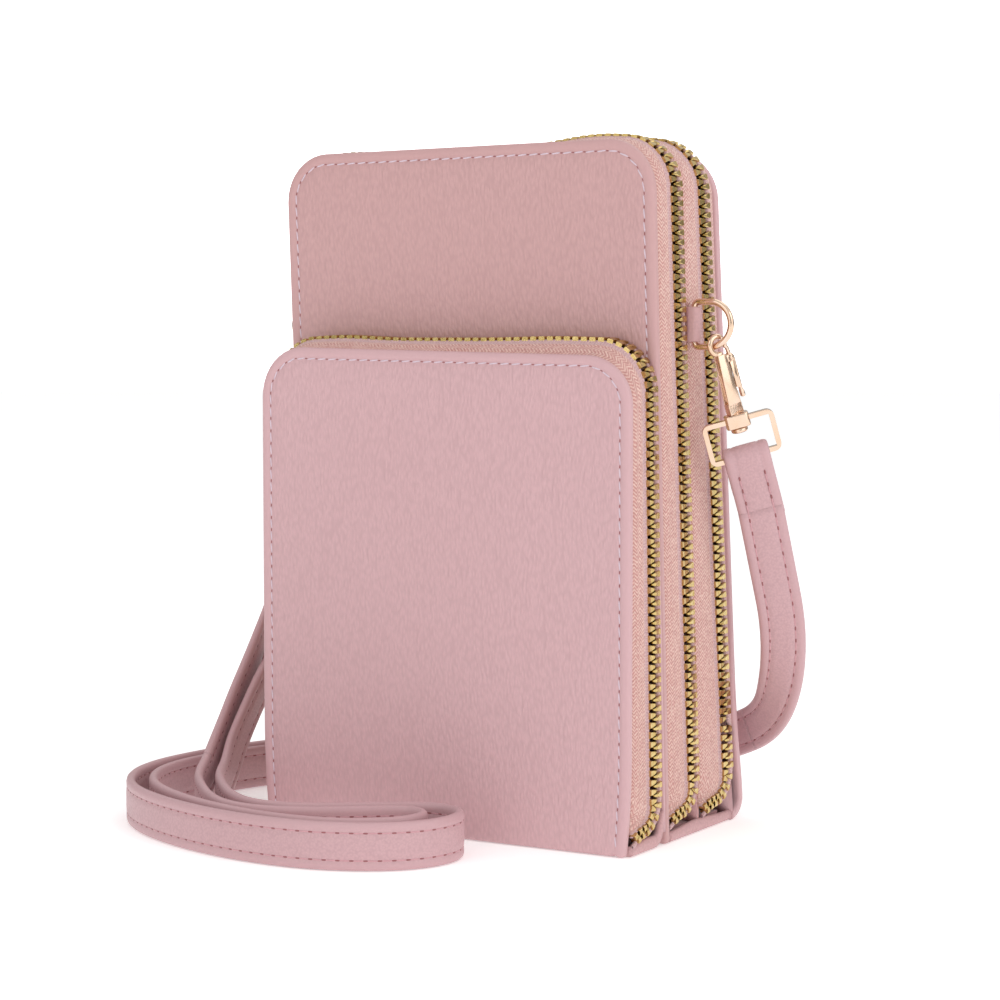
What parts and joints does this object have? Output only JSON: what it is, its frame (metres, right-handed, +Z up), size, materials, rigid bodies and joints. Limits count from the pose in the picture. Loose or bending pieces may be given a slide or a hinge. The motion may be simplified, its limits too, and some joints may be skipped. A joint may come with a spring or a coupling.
{
  "type": "crossbody bag",
  "caption": "Upright crossbody bag: two tall zip compartments with a lower zip pocket in front, D-rings at the sides and a flat clip-on shoulder strap",
  "frame": {"origin": "middle of the base, on the floor", "axes": "+X to the right seen from the pocket side, +Y to the back, +Z up"},
  "size_m": [0.1767, 0.1585, 0.1812],
  "materials": {
    "pink_leather": "pebbled imitation leather",
    "pink_lining": "plain woven lining",
    "board": "grey fibre board",
    "pink_tape": "woven zip tape",
    "brass_teeth": "polished light brass",
    "gold_metal": "pale gold plating",
    "spring_steel": "spring leaf"
  },
  "bodies": {
    "bag": {"main_base_leather": "pink_leather", "main_base_board": "board", "divider_front_lining": "pink_lining", "divider_board": "board", "divider_back_lining": "pink_lining", "main_zip_rear_tape": "pink_tape", "main_zip_rear_teeth": "brass_teeth", "rear_zip_front_tape": "pink_tape", "rear_zip_front_teeth": "brass_teeth", "rear_zip_tail_tape": "pink_tape", "rear_zip_tail_teeth": "brass_teeth", "right_ring_tab": "pink_leather", "left_ring_tab": "pink_leather", "strap_right_drop": "pink_leather", "strap_floor_run": "pink_leather", "strap_left_drop": "pink_leather"},
    "main_front": {"main_front_leather": "pink_leather", "main_front_board": "board", "main_front_lining": "pink_lining", "pocket_back_leather": "pink_leather", "pocket_base_leather": "pink_leather", "pocket_zip_rear_tape": "pink_tape", "pocket_zip_rear_teeth": "brass_teeth", "main_zip_front_tape": "pink_tape", "main_zip_front_teeth": "brass_teeth"},
    "pocket_front": {"pocket_front_leather": "pink_leather", "pocket_front_board": "board", "pocket_front_lining": "pink_lining", "pocket_zip_front_tape": "pink_tape", "pocket_zip_front_teeth": "brass_teeth"},
    "main_back": {"main_back_leather": "pink_leather", "main_back_board": "board", "main_back_lining": "pink_lining", "rear_zip_rear_tape": "pink_tape", "rear_zip_rear_teeth": "brass_teeth"},
    "pocket_slider": {"pocket_zip_slider": "gold_metal"},
    "main_slider": {"main_zip_slider": "gold_metal"},
    "rear_slider": {"rear_zip_slider": "gold_metal"},
    "pocket_pull": {"pocket_zip_pull": "gold_metal"},
    "main_pull": {"main_zip_pull": "gold_metal"},
    "rear_pull": {"rear_zip_pull": "gold_metal"},
    "right_ring": {"right_d_ring": "gold_metal"},
    "left_ring": {"left_d_ring": "gold_metal"},
    "right_loop": {"right_swivel_loop": "gold_metal", "right_strap_end": "pink_leather"},
    "left_loop": {"left_swivel_loop": "gold_metal", "left_strap_end": "pink_leather"},
    "right_hook": {"right_hook": "gold_metal", "right_gate_spring": "spring_steel"},
    "left_hook": {"left_hook": "gold_metal", "left_gate_spring": "spring_steel"},
    "right_gate": {"right_gate": "gold_metal"},
    "left_gate": {"left_gate": "gold_metal"}
  },
  "joints": [
    {"name": "main_front_fold", "type": "hinge", "parent": "bag", "child": "main_front", "pos_m": [0, -0.0108, 0.0012], "axis": [1, 0, 0], "range_deg": [0, 15]},
    {"name": "pocket_front_fold", "type": "hinge", "parent": "main_front", "child": "pocket_front", "pos_m": [0, -0.0318, 0.0012], "axis": [1, 0, 0], "range_deg": [0, 18]},
    {"name": "main_back_fold", "type": "hinge", "parent": "bag", "child": "main_back", "pos_m": [0, 0.0318, 0.0012], "axis": [-1, 0, 0], "range_deg": [0, 14]},
    {"name": "pocket_slider_travel", "type": "slide", "parent": "pocket_front", "child": "pocket_slider", "axis": [0, -0.03, 0.9995], "range_m": [0, 0.05]},
    {"name": "pocket_pull_swing", "type": "hinge", "parent": "pocket_slider", "child": "pocket_pull", "pos_m": [-0.059, -0.02024, 0.038], "axis": [0, 0.9995, 0.03], "range_deg": [0, 160]},
    {"name": "main_slider_travel", "type": "slide", "parent": "main_front", "child": "main_slider", "axis": [0, -0.0748, 0.9972], "range_m": [0, 0.05]},
    {"name": "main_pull_swing", "type": "hinge", "parent": "main_slider", "child": "main_pull", "pos_m": [-0.059, 0.00175, 0.038], "axis": [0, 0.9972, 0.0748], "range_deg": [0, 160]},
    {"name": "rear_slider_travel", "type": "slide", "parent": "main_back", "child": "rear_slider", "axis": [0, -0.1073, 0.9942], "range_m": [0, 0.05]},
    {"name": "rear_pull_swing", "type": "hinge", "parent": "rear_slider", "child": "rear_pull", "pos_m": [-0.059, 0.0217, 0.038], "axis": [0, 0.9942, 0.1073], "range_deg": [0, 160]},
    {"name": "right_loop_swing", "type": "hinge", "parent": "bag", "child": "right_loop", "pos_m": [0.0576, -0.00032, 0.1336], "axis": [0, 0, 1], "range_deg": [-15, 15]},
    {"name": "right_ring_swing", "type": "hinge", "parent": "bag", "child": "right_ring", "pos_m": [0.0576, -0.00032, 0.1336], "axis": [0, 0, 1], "range_deg": [-15, 15]},
    {"name": "right_hook_swivel", "type": "hinge", "parent": "right_loop", "child": "right_hook", "pos_m": [0.0642, -0.00032, 0.1278], "axis": [0.1562, 0.2705, -0.95], "range_deg": [-15, 12]},
    {"name": "right_gate_press", "type": "hinge", "parent": "right_hook", "child": "right_gate", "pos_m": [0.066, 0.00279, 0.12519], "axis": [-0.866, 0.5, 0], "range_deg": [0, 12], "stiffness_Nm_per_rad": 0.012, "springref_deg": -8.59},
    {"name": "left_loop_swing", "type": "hinge", "parent": "bag", "child": "left_loop", "pos_m": [-0.0576, -0.00032, 0.1336], "axis": [0, 0, -1], "range_deg": [-15, 15]},
    {"name": "left_ring_swing", "type": "hinge", "parent": "bag", "child": "left_ring", "pos_m": [-0.0576, -0.00032, 0.1336], "axis": [0, 0, -1], "range_deg": [-15, 15]},
    {"name": "left_hook_swivel", "type": "hinge", "parent": "left_loop", "child": "left_hook", "pos_m": [-0.0642, -0.00032, 0.1278], "axis": [0.1562, -0.2705, 0.95], "range_deg": [-15, 12]},
    {"name": "left_gate_press", "type": "hinge", "parent": "left_hook", "child": "left_gate", "pos_m": [-0.066, 0.00279, 0.12519], "axis": [-0.866, -0.5, 0], "range_deg": [0, 12], "stiffness_Nm_per_rad": 0.012, "springref_deg": -8.59}
  ],
  "couplings": [
    {"joint": "right_ring_swing", "follows": "right_loop_swing", "ratio": 1},
    {"joint": "left_ring_swing", "follows": "left_loop_swing", "ratio": 1}
  ]
}
